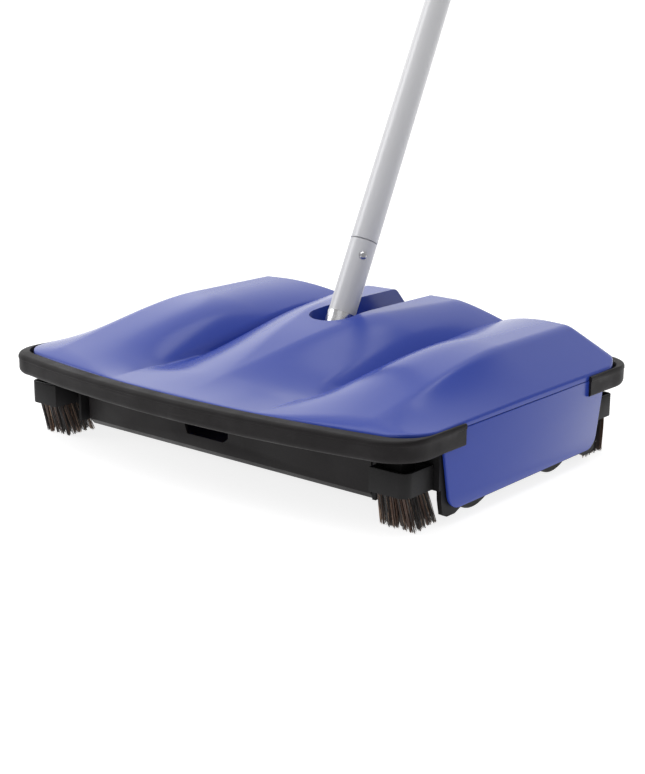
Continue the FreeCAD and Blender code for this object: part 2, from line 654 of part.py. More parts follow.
def make_corners():
    """Four moulded blocks under the bumper corners, and the bristle tuft that each one holds."""
    for name, (side, end) in CORNERS.items():
        body = new_body("block_" + name)
        profile = draw(body, "Block_outline_" + name, "XY_Plane", [[
            ("0", "0"), ("block_size", "0"), ("block_size", "block_size"), ("0", "block_size")]])
        pad(body, "Block_" + name, profile, "block_high - block_low")
        outer = SIZE["block_size"]
        round_edges(body, "Block_corner_" + name, "block_corner", lambda e: upright_at(e, outer, outer))
        well = draw(body, "Well_outline_" + name, "XY_Plane", [[
            ("2.2", "2.2"), ("block_size - 2.2", "2.2"), ("block_size - 2.2", "block_size - 2.2"),
            ("2.2", "block_size - 2.2")]])
        lifted = FreeCAD.Placement(V(0, 0, 4.0), FreeCAD.Rotation())
        well.AttachmentOffset = lifted
        pocket(body, "Well_" + name, well, "block_high - block_low", middle=False, back=True)
        stem = draw(body, "Stem_outline_" + name, "XY_Plane", [[
            ("1", "1"), ("block_size - 11", "1"), ("block_size - 11", "block_size - 11"), ("1", "block_size - 11")]])
        pad(body, "Stem_" + name, stem, "frame_low - block_low")
        turned = FreeCAD.Rotation(V(0, 0, 1), {(1, 1): 0, (-1, 1): 90, (-1, -1): 180, (1, -1): 270}[(side, end)])
        corner = V(side * (SIZE["block_x"] - SIZE["block_size"]), end * (SIZE["block_y"] - SIZE["block_size"]),
                   SIZE["block_low"])
        body.Placement = FreeCAD.Placement(corner, turned)
        keep(body, "corner_block_" + name)

        tuft = doc.addObject("Part::Feature", "Tuft_" + name)
        far_x, far_y = SIZE["block_x"] - 3.0, SIZE["block_y"] - 3.5
        near_x, near_y = far_x - SIZE["tuft_size"], far_y - SIZE["tuft_size"]
        flare, rake = SIZE["tuft_flare"], SIZE["tuft_rake"]

        def ring(grow, lean, z):
            points = [(near_x - grow, near_y - grow - lean), (far_x + grow, near_y - grow - lean),
                      (far_x + grow, far_y + grow - lean), (near_x - grow, far_y + grow - lean)]
            corners = [V(side * a, end * b, z) for a, b in points]
            return Part.makePolygon(corners + corners[:1])

        tuft.Shape = Part.makeLoft([ring(0, 0, SIZE["block_low"]), ring(flare, rake, 0)], True)
        keep(tuft, "corner_brush_" + name)


# ---------------------------------------------------------------- wheels and brush roll

def make_wheels():
    """Four wheels: a dished hub and a rubber tyre on an axle pin each."""
    axles = []
    for name, (side, end) in CORNERS.items():
        place = along_x(side * SIZE["wheel_x"], end * SIZE["wheel_y"], SIZE["wheel_radius"])
        hub = new_body("hub_" + name)
        half = "wheel_width / 2"
        profile = draw(hub, "Hub_profile_" + name, "XZ_Plane", [[
            ("axle_radius + running_gap", "-(%s)" % half), ("axle_radius + 3", "-(%s)" % half),
            ("axle_radius + 4", "-(%s) + 3" % half), ("hub_radius - 4", "-(%s) + 3" % half),
            ("hub_radius - 3", "-(%s)" % half), ("hub_radius", "-(%s)" % half), ("hub_radius", half),
            ("hub_radius - 3", half), ("hub_radius - 4", "%s - 3" % half), ("axle_radius + 4", "%s - 3" % half),
            ("axle_radius + 3", half), ("axle_radius + running_gap", half)]])
        revolve(hub, "Hub_turned_" + name, profile)
        hub.Placement = place
        keep(hub, "wheel_hub_" + name)
        tyre = new_body("tyre_" + name)
        profile = draw(tyre, "Tyre_profile_" + name, "XZ_Plane", [[
            ("hub_radius", "-(%s) + 0.5" % half), ("wheel_radius - 1", "-(%s) + 0.5" % half),
            ("wheel_radius", "-(%s) + 1.5" % half), ("wheel_radius", "%s - 1.5" % half),
            ("wheel_radius - 1", "%s - 0.5" % half), ("hub_radius", "%s - 0.5" % half)]])
        revolve(tyre, "Tyre_turned_" + name, profile)
        tyre.Placement = place
        keep(tyre, "wheel_tyre_" + name)
        low = SIZE["bay_face"] - SIZE["bay_wall"] if side > 0 else -SIZE["frame_half"] + 1.3
        length = "frame_half - 1.3 - (bay_face - bay_wall)"
        axles.append(cylinder("Axle_" + name, "axle_radius", length,
                              along_x(low, end * SIZE["wheel_y"], SIZE["wheel_radius"])))
    keep(group("Axles", axles), "wheel_axle_pins")


def make_roll():
    """The brush roll: a steel shaft, a wooden core, a pulley at each end, and the reach of its bristles."""
    z = SIZE["roll_z"]
    end = SIZE["wheel_x"] + SIZE["wheel_width"] / 2 + 1
    keep(cylinder("Shaft", "shaft_radius", "2 * (wheel_x + wheel_width / 2 + 1)", along_x(-end, 0, z)), "roll_shaft")
    core = cylinder("Core_bar", "core_radius", "2 * roll_half + 2", along_x(-SIZE["roll_half"] - 1, 0, z))
    bore = cylinder("Core_bore", "shaft_radius", "400", along_x(-200, 0, z))
    keep(cut("Core", core, bore), "roll_core")
    reach = cylinder("Bristle_reach", "bristle_radius", "2 * roll_half", along_x(-SIZE["roll_half"], 0, z))
    inside = cylinder("Bristle_root", "core_radius", "400", along_x(-200, 0, z))
    keep(cut("Bristles", reach, inside), "roll_bristles")
    for label, side in (("roll_pulley_left", -1), ("roll_pulley_right", 1)):
        pulley = new_body(label)
        half = "(wheel_width / 2 + 0.5)"
        profile = draw(pulley, "Profile_" + label, "XZ_Plane", [[
            ("shaft_radius", "-%s" % half), ("pulley_radius", "-%s" % half), ("pulley_radius", half),
            ("shaft_radius", half)]])
        revolve(pulley, "Turned_" + label, profile)
        pulley.Placement = along_x(side * SIZE["wheel_x"], 0, z)
        keep(pulley, label)
    bushes = []
    for side in (-1, 1):
        start = SIZE["bay_face"] - SIZE["bay_wall"] if side > 0 else -SIZE["bay_face"]
        sleeve = cylinder("Bush_%d" % (side + 1), "bush_radius", "bay_wall", along_x(start, 0, z))
        rim_start = start + SIZE["bay_wall"] if side > 0 else start - 2
        rim = cylinder("Bush_rim_%d" % (side + 1), "bush_radius + 2", "2", along_x(rim_start, 0, z))
        solid = fuse("Bush_solid_%d" % (side + 1), [sleeve, rim])
        hole = cylinder("Bush_bore_%d" % (side + 1), "shaft_radius + running_gap", "20", along_x(start - 8, 0, z))
        bushes.append(cut("Bush_cut_%d" % (side + 1), solid, hole))
    keep(group("Bushes", bushes), "roll_bushes")


# ---------------------------------------------------------------- dust pans

def make_pans():
    """Two dust pans that face the roll, each on a hinge rod with a spring that holds it shut."""
    for label, end in (("front", -1), ("rear", 1)):
        def turned(y):
            return "%s(%s)" % ("" if end > 0 else "-", y)

        body = new_body(label + "_pan")
        profile = draw(body, "Pan_outline_" + label, "YZ_Plane", [[
            (turned("pan_front"), "pan_high"), (turned("pan_front"), "pan_low + 4"),
            (turned("pan_front - 4"), "pan_low"), (turned("pan_lip + 1"), "pan_low"),
            (turned("pan_lip"), "pan_low + 3"), (turned("pan_lip + 21"), "pan_high")]])
        pad(body, "Pan_solid_" + label, profile, "2 * pan_half", middle=True)
        inside = draw(body, "Pan_inside_" + label, "YZ_Plane", [[
            (turned("pan_front - pan_wall"), "pan_high + 5"), (turned("pan_front - pan_wall"), "pan_low + 4.7"),
            (turned("pan_front - 4.7"), "pan_low + pan_wall"), (turned("pan_lip + 2"), "pan_low + pan_wall"),
            (turned("pan_lip - 5"), "pan_low + 5"), (turned("pan_lip - 5"), "pan_high + 5")]])
        pocket(body, "Pan_hollow_" + label, inside, "2 * (pan_half - pan_wall)")
        middle = "%s(notch_x)" % ("" if end > 0 else "-")
        notch = draw(body, "Notch_outline_" + label, "XZ_Plane", [[
            ("%s - notch_half" % middle, "notch_high"), ("%s - notch_half + 4" % middle, "notch_low"),
            ("%s + notch_half - 4" % middle, "notch_low"), ("%s + notch_half" % middle, "notch_low + 3"),
            ("%s + notch_half" % middle, "notch_high")]])
        notch.AttachmentOffset = FreeCAD.Placement(V(0, 0, -end * SIZE["pan_front"]), FreeCAD.Rotation())
        pocket(body, "Notch_" + label, notch, "4 * pan_wall")
        hole = circles(body, "Rod_hole_outline_" + label, "YZ_Plane",
                       [(turned("rod_y"), "rod_z", "rod_radius + running_gap")])
        pocket(body, "Rod_hole_" + label, hole, "2 * pan_half + 4")
        keep(body, label + "_dust_pan")
        y = end * SIZE["rod_y"]
        keep(cylinder("Rod_" + label, "rod_radius", "2 * bay_face - 1.4",
                      along_x(-SIZE["bay_face"] + 0.7, y, SIZE["rod_z"])), label + "_pan_rod")
        coil = cylinder("Coil_" + label, "rod_radius + 1", "16", along_x(90, y, SIZE["rod_z"]))
        leg = doc.addObject("Part::Box", "Coil_leg_" + label)
        bind(leg, Length="1.2", Width="22", Height="1.2")
        leg.Placement = FreeCAD.Placement(V(92, y if end > 0 else y - 22, SIZE["rod_z"] - SIZE["rod_radius"] - 1.1),
                                          FreeCAD.Rotation())
        bore = cylinder("Coil_bore_" + label, "rod_radius + 0.1", "60", along_x(70, y, SIZE["rod_z"]))
        keep(cut("Pan_spring_" + label, fuse("Spring_solid_" + label, [coil, leg]), bore), label + "_pan_spring")


# ---------------------------------------------------------------- handle

def turned_piece(label, corners):
    """A piece turned about the handle's axis."""
    body = new_body(label)
    profile = draw(body, "Profile_" + label, "XZ_Plane", [corners])
    revolve(body, "Turned_" + label, profile)
    body.Placement = TURNED
    keep(body, label)
    return body


def joint_at(number):
    """Height of a tube joint along the handle, as an expression."""
    return "joint_1 + %d * section" % number


def button_hole(body, name, height, wide=0.15):
    """A round hole in the front wall of a tube for a snap button."""
    sketch = circles(body, "Button_hole_outline_" + name, "XZ_Plane",
                     [("0", height, "button_radius + %s" % wide)])
    return pocket(body, "Button_hole_" + name, sketch, "3 * tube_radius", middle=False, back=True)


def make_yoke():
    """The cast yoke: an eye on the pivot pin, a ferrule, and a spigot inside the socket."""
    body = new_body("yoke")
    profile = draw(body, "Ferrule_profile", "XZ_Plane", [[
        ("0", "pivot_up"), ("yoke_half - 1.5", "pivot_up"), ("yoke_half - 1.5", "socket_low - 11"),
        ("ferrule_radius", "socket_low - 9"), ("ferrule_radius", "socket_low - 0.2"),
        ("tube_radius - tube_wall - 0.05", "socket_low - 0.2"),
        ("tube_radius - tube_wall - 0.05", "socket_low + 18"), ("0", "socket_low + 18")]])
    revolve(body, "Ferrule", profile)
    eye = circles(body, "Eye_outline", "YZ_Plane", [("0", "pivot_up", "8")])
    pad(body, "Eye", eye, "2 * yoke_half", middle=True)
    hole = circles(body, "Eye_hole_outline", "YZ_Plane", [("0", "pivot_up", "pin_radius + running_gap")])
    pocket(body, "Eye_hole", hole, "4 * yoke_half")
    body.Placement = LEANING
    keep(body, "handle_yoke")


def make_tubes():
    """A short socket and three tube sections: each section's lower end is reduced to fit inside the
    piece below, where a snap button holds it."""
    outer, inner = "tube_radius", "tube_radius - tube_wall"
    spigot_out, spigot_in = "tube_radius - tube_wall - 0.06", "tube_radius - 2 * tube_wall - 0.06"
    socket = turned_piece("handle_socket", [
        (inner, "socket_low"), ("foot_radius", "socket_low"), ("foot_radius", "joint_1 - 0.3"),
        (inner, "joint_1 - 0.3")])
    button_hole(socket, "socket", "joint_1 - button_drop")
    for number, label in enumerate(("lower_tube", "middle_tube", "upper_tube")):
        start = joint_at(number)
        end = joint_at(number + 1) + " - 0.3" if number < 2 else "grip_high - 4"
        wide = "foot_radius" if number == 0 else outer
        narrowed = [(outer, "%s + taper" % start)] if number == 0 else []
        tube = turned_piece(label, [
            (spigot_in, "%s - spigot" % start), (spigot_out, "%s - spigot" % start), (spigot_out, start),
            (wide, "%s + 0.6" % start)] + narrowed + [
            (outer, end), (inner, end), (inner, "%s + 2" % start), (spigot_in, "%s + 1" % start)])
        button_hole(tube, label + "_spigot", "%s - button_drop" % start)
        if number < 2:
            button_hole(tube, label, "%s - button_drop" % joint_at(number + 1))


def make_buttons():
    """Snap buttons that stand out of each joint, and the bent strips that push them out."""
    for number, name in enumerate(("lower", "middle", "upper")):
        middle = SIZE["joint_1"] + number * SIZE["section"] - SIZE["button_drop"]
        body = new_body("button_" + name)
        face = "foot_radius" if number == 0 else "tube_radius"
        top = face + " + button_out"
        profile = draw(body, "Button_profile_" + name, "XZ_Plane", [[
            ("0", "tube_radius - 3.4"), ("button_radius", "tube_radius - 3.4"),
            ("button_radius", face + " + 0.1"), ("button_radius - 1", top), ("0", top)]])
        revolve(body, "Button_turned_" + name, profile)
        facing = FreeCAD.Placement(V(0, 0, middle), FreeCAD.Rotation(V(1, 0, 0), 90))
        body.Placement = TURNED.multiply(facing)
        keep(body, "snap_button_" + name)
        strip = new_body("strip_" + name)
        thick = 0.6
        reach = SIZE["tube_radius"] - 3.4
        far = 3.2
        profile = draw(strip, "Strip_profile_" + name, "YZ_Plane", [[
            ("%.2f" % -reach, "4"), ("%.2f" % -reach, "-4"), ("%.2f" % far, "-16"),
            ("%.2f" % far, "-2"), ("%.2f" % (far - thick), "-2"),
            ("%.2f" % (far - thick), "-14.8"), ("%.2f" % (thick - reach), "-3.6"),
            ("%.2f" % (thick - reach), "4")]])
        pad(strip, "Strip_" + name, profile, "4", middle=True)
        strip.Placement = TURNED.multiply(FreeCAD.Placement(V(0, 0, middle), FreeCAD.Rotation()))
        keep(strip, "snap_spring_" + name)


def make_grip():
    """A ribbed grip over the end of the upper tube, and an end cap with a hanging eye."""
    ribs = [("tube_radius + 0.02", "grip_low"), ("grip_radius - 1.5", "grip_low"), ("grip_radius", "grip_low + 2")]
    count, pitch = 8, 13.0
    for rib in range(count):
        start = 12.0 + rib * pitch
        ribs += [("grip_radius", "grip_low + %g" % start), ("grip_radius - 0.8", "grip_low + %g" % (start + 1)),
                 ("grip_radius - 0.8", "grip_low + %g" % (start + 3)), ("grip_radius", "grip_low + %g" % (start + 4))]
    ribs += [("grip_radius", "grip_high - 0.3"), ("tube_radius + 0.02", "grip_high - 0.3")]
    turned_piece("handle_grip", ribs)
    body = new_body("cap")
    profile = draw(body, "Cap_profile", "XZ_Plane", [[
        ("0", "grip_high"), ("grip_radius - 0.5", "grip_high"), ("grip_radius - 0.5", "grip_high + 5"),
        ("grip_radius - 3", "grip_high + 9"), ("0", "grip_high + 9")]])
    revolve(body, "Cap_turned", profile)
    eye = circles(body, "Eye_outline_cap", "YZ_Plane", [("0", "hang_up", "cap_high - hang_up")])
    pad(body, "Eye_cap", eye, "2 * cap_half", middle=True)
    hole = circles(body, "Hang_outline", "YZ_Plane", [("0", "hang_up", "hang_radius")])
    pocket(body, "Hang_hole", hole, "6 * cap_half")
    body.Placement = LEANING
    keep(body, "end_cap")


def make_screws():
    """Screws that hold the cover to the frame."""
    screws = []
    for i, (x, y) in enumerate(BOSSES):
        start = V(x, y, SIZE["frame_low"] - 1.8)
        head = cylinder("Screw_head_%d" % i, "3.2", "1.8", FreeCAD.Placement(start, FreeCAD.Rotation()))
        shank = cylinder("Screw_shank_%d" % i, "screw_radius", "6.8", FreeCAD.Placement(start, FreeCAD.Rotation()))
        screws.append(fuse("Screw_%d" % i, [head, shank]))
    keep(group("Cover_screws", screws), "cover_screws")


def check_and_write():
    """Refuse a failed object or a bad shape, then write each sub-part to its own file."""
    doc.recompute()
    for item in doc.Objects:
        if "Invalid" in item.State or "Error" in item.State:
            raise RuntimeError("%s is %s" % (item.Name, item.State))
    labels = [item.Label for item in PIECES]
    if len(set(labels)) != len(labels):
        raise RuntimeError("two sub-parts share a label")
    os.makedirs("parts", exist_ok=True)
    for old in os.listdir("parts"):
        if old.endswith(".step"):
            os.remove(os.path.join("parts", old))
    for item in PIECES:
        shape = item.Shape
        if shape.isNull() or not shape.isValid() or shape.Volume <= 0:
            raise RuntimeError(item.Label + " has no good shape")
        shape.exportStep(os.path.join("parts", item.Label + ".step"))
    print(len(PIECES), "sub-parts")


make_cover()
make_panels()
make_bumpers()
make_frame()
make_deck()
make_bracket()
make_corners()
make_wheels()
make_roll()
make_pans()
make_yoke()
make_tubes()
make_buttons()
make_grip()
make_screws()
check_and_write()
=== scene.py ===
"""The looks of the carpet sweeper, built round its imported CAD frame. Metres, with the CAD's own frame."""

import json
import math
import random

import bmesh
import bpy
from mathutils import Matrix, Vector


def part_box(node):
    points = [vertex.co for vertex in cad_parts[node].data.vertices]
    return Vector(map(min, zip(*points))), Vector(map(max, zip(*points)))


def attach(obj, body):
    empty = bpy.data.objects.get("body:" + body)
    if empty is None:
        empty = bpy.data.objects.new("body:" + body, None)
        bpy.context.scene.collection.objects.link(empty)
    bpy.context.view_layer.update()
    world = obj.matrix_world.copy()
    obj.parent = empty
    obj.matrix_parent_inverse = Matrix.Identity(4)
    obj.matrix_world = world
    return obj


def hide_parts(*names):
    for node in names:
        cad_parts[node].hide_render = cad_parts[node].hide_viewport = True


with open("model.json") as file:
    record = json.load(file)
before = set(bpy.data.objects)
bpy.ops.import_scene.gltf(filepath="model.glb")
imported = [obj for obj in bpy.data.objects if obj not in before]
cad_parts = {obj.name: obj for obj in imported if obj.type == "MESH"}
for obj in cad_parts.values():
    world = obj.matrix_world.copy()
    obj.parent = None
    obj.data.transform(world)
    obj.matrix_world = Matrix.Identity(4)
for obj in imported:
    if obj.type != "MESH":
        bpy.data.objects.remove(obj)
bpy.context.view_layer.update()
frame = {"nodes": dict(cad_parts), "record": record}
MM = 0.001

# ------------------------------------------------------------------ sizes, in millimetres, from the frame


def span(node):
    """A node's lowest and highest corners in millimetres."""
    low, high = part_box(node)
    return [c / MM for c in low], [c / MM for c in high]


BUMPER_LOW, BUMPER_HIGH = span("front_bumper")[0][2], span("front_bumper")[1][2]
HALF_WIDTH = span("front_bumper")[1][0]
COVER_HALF = span("top_cover")[1][0]
COVER_FOOT = span("top_cover")[0][2]
BOW = 18.5
COVER_CORNER_Y = span("top_cover")[1][1] - BOW
BUMPER_CORNER_Y = span("rear_bumper")[1][1] - BOW
BUMPER_ARM = span("rear_bumper")[0][1]
COVER_RIM = 58.0
COVER_WALL = 2.2
COVER_CORNER, BUMPER_CORNER = 22.0, 25.0
FACE_SET = 0.45
SLOT_HALF, SLOT_FRONT, SLOT_CORNER = 16.0, -1.0, 15.0


# ------------------------------------------------------------------ material helpers

class Shader:
    """A node-based material with a few shortcuts for its links."""

    def __init__(self, name, color, roughness, metallic=0.0, specular=0.5):
        self.material = bpy.data.materials.new(name)
        self.material.use_nodes = True
        self.tree = self.material.node_tree
        self.nodes = self.tree.nodes
        self.surface = next(n for n in self.nodes if n.type == "BSDF_PRINCIPLED")
        self.set("Base Color", (*color, 1.0))
        self.set("Roughness", roughness)
        self.set("Metallic", metallic)
        self.set("Specular IOR Level", specular)
        self.place = self.nodes.new("ShaderNodeTexCoord").outputs["Object"]
        self.color = color
        self.roughness = roughness

    def set(self, socket, value):
        self.surface.inputs[socket].default_value = value

    def link(self, output, socket):
        self.tree.links.new(output, socket)

    def scaled(self, scale):
        """Object coordinates, stretched."""
        mapping = self.nodes.new("ShaderNodeMapping")
        mapping.inputs["Scale"].default_value = scale
        self.link(self.place, mapping.inputs["Vector"])
        return mapping.outputs["Vector"]

    def noise(self, scale, detail=3.0, rough=0.55, stretch=(1, 1, 1)):
        node = self.nodes.new("ShaderNodeTexNoise")
        node.inputs["Scale"].default_value = scale
        node.inputs["Detail"].default_value = detail
        node.inputs["Roughness"].default_value = rough
        self.link(self.scaled(stretch), node.inputs["Vector"])
        return node.outputs["Fac"]

    def ramp(self, factor, low, high, start=0.0, end=1.0):
        node = self.nodes.new("ShaderNodeMapRange")
        node.inputs["From Min"].default_value = low
        node.inputs["From Max"].default_value = high
        node.inputs["To Min"].default_value = start
        node.inputs["To Max"].default_value = end
        self.link(factor, node.inputs["Value"])
        return node.outputs["Result"]

    def tint(self, factor, other):
        """Mix the colour so far towards another by a factor."""
        node = self.nodes.new("ShaderNodeMix")
        node.data_type = "RGBA"
        base = self.surface.inputs["Base Color"]
        if base.is_linked:
            self.link(base.links[0].from_socket, node.inputs["A"])
        else:
            node.inputs["A"].default_value = base.default_value
        node.inputs["B"].default_value = (*other, 1.0)
        self.link(factor, node.inputs["Factor"])
        self.link(node.outputs["Result"], base)

    def vary_roughness(self, factor, start, end):
        self.link(self.ramp(factor, 0.3, 0.7, start, end), self.surface.inputs["Roughness"])

    def bump(self, height, strength, distance):
        node = self.nodes.new("ShaderNodeBump")
        node.inputs["Strength"].default_value = strength
        node.inputs["Distance"].default_value = distance
        self.link(height, node.inputs["Height"])
        normal = self.surface.inputs["Normal"]
        if normal.is_linked:
            self.link(normal.links[0].from_socket, node.inputs["Normal"])
        self.link(node.outputs["Normal"], normal)


def glossy_blue():
    """Moulded blue plastic: glossy, with a faint variation of its colour."""
    shade = Shader("cover_blue", (0.025, 0.054, 0.335), 0.20, specular=0.34)
    flow = shade.noise(9.0, 2.0)
    shade.tint(shade.ramp(flow, 0.35, 0.75, 0.0, 0.25), (0.030, 0.062, 0.370))
    return shade.material


def satin_vinyl():
    """Soft dark grey vinyl with a fine grain, paler where it has rubbed."""
    shade = Shader("bumper_vinyl", (0.011, 0.0095, 0.010), 0.52, specular=0.16)
    shade.tint(shade.ramp(shade.noise(35.0, 6.0, 0.65), 0.52, 0.78, 0.0, 0.4), (0.028, 0.026, 0.027))
    streaks = shade.noise(90.0, 4.0, 0.6, (0.15, 1, 3))
    shade.tint(shade.ramp(streaks, 0.62, 0.75, 0.0, 0.3), (0.040, 0.038, 0.038))
    shade.vary_roughness(shade.noise(50.0, 4.0), 0.45, 0.62)
    shade.bump(shade.noise(1500.0, 3.0), 0.25, 0.0004)
    shade.bump(shade.noise(140.0, 3.0), 0.10, 0.0006)
    return shade.material


def black_plastic(name, color, roughness, dust=0.2):
    """Moulded black plastic: a fine texture, with a little dust on it."""
    shade = Shader(name, color, roughness, specular=0.2)
    pale = tuple(c * 2.4 + 0.006 for c in color)
    shade.tint(shade.ramp(shade.noise(45.0, 6.0, 0.6), 0.5, 0.8, 0.0, dust), pale)
    shade.vary_roughness(shade.noise(30.0, 4.0), roughness - 0.07, roughness + 0.1)
    shade.bump(shade.noise(900.0, 3.0), 0.18, 0.0004)
    return shade.material


def coated_tube():
    """Pale grey powder coat over steel tube."""
    shade = Shader("tube_grey", (0.60, 0.60, 0.612), 0.32, metallic=0.1, specular=0.5)
    shade.set("Coat Weight", 0.3)
    shade.set("Coat Roughness", 0.2)
    shade.tint(shade.ramp(shade.noise(14.0, 3.0), 0.4, 0.7, 0.0, 0.3), (0.64, 0.64, 0.652))
    shade.tint(shade.ramp(shade.noise(700.0, 2.0), 0.62, 0.78, 0.0, 0.25), (0.52, 0.52, 0.532))
    shade.bump(shade.noise(1100.0, 3.0), 0.12, 0.0003)
    return shade.material


def bright_metal(name, color, roughness, grain):
    """Plated or drawn steel with a fine grain."""
    shade = Shader(name, color, roughness, metallic=1.0)
    shade.tint(shade.ramp(shade.noise(120.0, 5.0), 0.45, 0.75, 0.0, 0.3), tuple(c * 0.78 for c in color))
    shade.vary_roughness(shade.noise(grain, 4.0, 0.6, (1, 1, 0.1)), roughness - 0.08, roughness + 0.12)
    shade.bump(shade.noise(grain, 3.0, 0.6, (1, 1, 0.1)), 0.15, 0.0002)
    return shade.material


def rubber(name, color, roughness):
    shade = Shader(name, color, roughness, specular=0.35)
    worn = tuple(c * 2.0 + 0.01 for c in color)
    shade.tint(shade.ramp(shade.noise(80.0, 6.0, 0.7), 0.5, 0.75, 0.0, 0.5), worn)
    shade.bump(shade.noise(700.0, 4.0), 0.3, 0.0005)
    return shade.material


def turned_wood():
    """Hardwood with its grain along the roll."""
    shade = Shader("core_wood", (0.42, 0.27, 0.14), 0.5)
    grain = shade.noise(90.0, 6.0, 0.6, (0.06, 1, 1))
    shade.tint(shade.ramp(grain, 0.42, 0.62, 0.0, 0.8), (0.26, 0.15, 0.07))
    shade.bump(grain, 0.3, 0.0005)
    return shade.material


def hair(name, color, other):
    """Bristle: a waxy strand whose colour shifts along and between strands."""
    shade = Shader(name, color, 0.42, specular=0.5)
    shade.tint(shade.ramp(shade.noise(420.0, 3.0, 0.6, (1, 1, 0.25)), 0.4, 0.65, 0.0, 0.85), other)
    return shade.material


MATERIALS = {
    "cover_blue": glossy_blue(),
    "bumper_vinyl": satin_vinyl(),
    "frame_black": black_plastic("frame_black", (0.008, 0.0075, 0.008), 0.5),
    "pan_black": black_plastic("pan_black", (0.010, 0.0085, 0.009), 0.45),
    "zinc": bright_metal("zinc", (0.78, 0.78, 0.80), 0.22, 500.0),
    "steel": bright_metal("steel", (0.58, 0.58, 0.60), 0.3, 700.0),
    "tube_grey": coated_tube(),
    "grip_black": rubber("grip_black", (0.022, 0.022, 0.024), 0.6),
    "cap_black": black_plastic("cap_black", (0.022, 0.022, 0.024), 0.4),
    "core_wood": turned_wood(),
    "pulley_plastic": black_plastic("pulley_plastic", (0.07, 0.07, 0.075), 0.5),
    "tyre_rubber": rubber("tyre_rubber", (0.02, 0.02, 0.021), 0.7),
}
STRANDS = [
    hair("bristle_black", (0.010, 0.008, 0.008), (0.022, 0.016, 0.013)),
    hair("bristle_brown", (0.050, 0.022, 0.012), (0.095, 0.045, 0.025)),
    hair("bristle_tan", (0.42, 0.29, 0.20), (0.24, 0.13, 0.08)),
]


# ------------------------------------------------------------------ mesh helpers

def add_mesh(name, points, faces, materials, smooth=True, body=None):
    """A piece from points in millimetres."""
    mesh = bpy.data.meshes.new(name)
    mesh.from_pydata([[c * MM for c in p] for p in points], [], faces)
    mesh.update()
    for face in mesh.polygons:
        face.use_smooth = smooth
    piece = bpy.data.objects.new(name, mesh)
    bpy.context.scene.collection.objects.link(piece)
    for material in materials if isinstance(materials, list) else [materials]:
        mesh.materials.append(material)
    if body:
        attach(piece, body)
    return piece


def apply_modifiers(piece):
    """Bake a piece's modifiers into its mesh."""
    evaluated = piece.evaluated_get(bpy.context.evaluated_depsgraph_get())
    mesh = bpy.data.meshes.new_from_object(evaluated)
    piece.modifiers.clear()
    piece.data = mesh


def smooth_by_angle(piece, degrees):
    """Shade a piece smooth, and keep the edges sharper than an angle."""
    mesh = bmesh.new()
    mesh.from_mesh(piece.data)
    limit = math.radians(degrees)
    for face in mesh.faces:
        face.smooth = True
    for edge in mesh.edges:
        edge.smooth = len(edge.link_faces) == 2 and edge.calc_face_angle(0.0) < limit
    mesh.to_mesh(piece.data)
    mesh.free()


def softened(node, body, slot, width):
    """A copy of a CAD node with its edges rounded over, which stands for the node."""
    source = frame["nodes"][node]
    piece = source.copy()
    piece.data = source.data.copy()
    piece.name = node + "_shell"
    piece.parent = None
    bpy.context.scene.collection.objects.link(piece)
    mesh = bmesh.new()
    mesh.from_mesh(piece.data)
    bmesh.ops.remove_doubles(mesh, verts=mesh.verts, dist=1e-6)
    bmesh.ops.dissolve_limit(mesh, angle_limit=math.radians(1.0), verts=mesh.verts, edges=mesh.edges)
    mesh.to_mesh(piece.data)
    mesh.free()
    bevel = piece.modifiers.new("edge", "BEVEL")
    bevel.width = width * MM
    bevel.segments = 2
    bevel.limit_method = "ANGLE"
    bevel.angle_limit = math.radians(30)
    bevel.use_clamp_overlap = True
    bevel.harden_normals = False
    apply_modifiers(piece)
    piece.data.materials.clear()
    piece.data.materials.append(MATERIALS[slot])
    smooth_by_angle(piece, 32)
    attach(piece, body)
    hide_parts(node)
    return piece


# ------------------------------------------------------------------ the sculpted cover

def ease(t):
    t = min(max(t, 0.0), 1.0)
    return t * t * (3 - 2 * t)


def soft_least(a, b, blend):
    near = max(blend - abs(a - b), 0.0) / blend
    return min(a, b) - near * near * blend / 4


CREST, SHOULDER = 27.5, 24.2
RIDGE_HALF, HUMP_X = 39.0, 117.0
SIDE_FOOT, SIDE_SLOPE = 164.0, 0.735
RISE_FRONT, RISE_LENGTH = -138.0, 173.0
VALLEY_START, VALLEY_X, VALLEY_SPREAD = -78.0, 62.4, 0.046
CLIMB, CLIMB_LENGTH = 17.6, 178.0
DIP, DIP_LENGTH = 1.5, 22.0
INNER_FOOT, OUTER_REACH = 38.0, 48.0
NOTCH_HALF, NOTCH_REACH, NOTCH_DEPTH = 2.2, 14.0, 3.0


def valley_line(y):
    """How far from the middle a valley's bottom runs at a distance along the body."""
    return VALLEY_X + VALLEY_SPREAD * (y - VALLEY_START)


def hump_height(u, y):
    """Height of the humps above the rim before the valleys are cut."""
    outwards = ease((u - RIDGE_HALF) / (HUMP_X - RIDGE_HALF))
    plateau = CREST - (CREST - SHOULDER) * outwards
    rise_front, rise_length = RISE_FRONT - 22.0 * outwards, RISE_LENGTH + 5.0 * outwards
    return soft_least(plateau, (SIDE_FOOT - u) * SIDE_SLOPE, 2.5) * ease((y - rise_front) / rise_length)


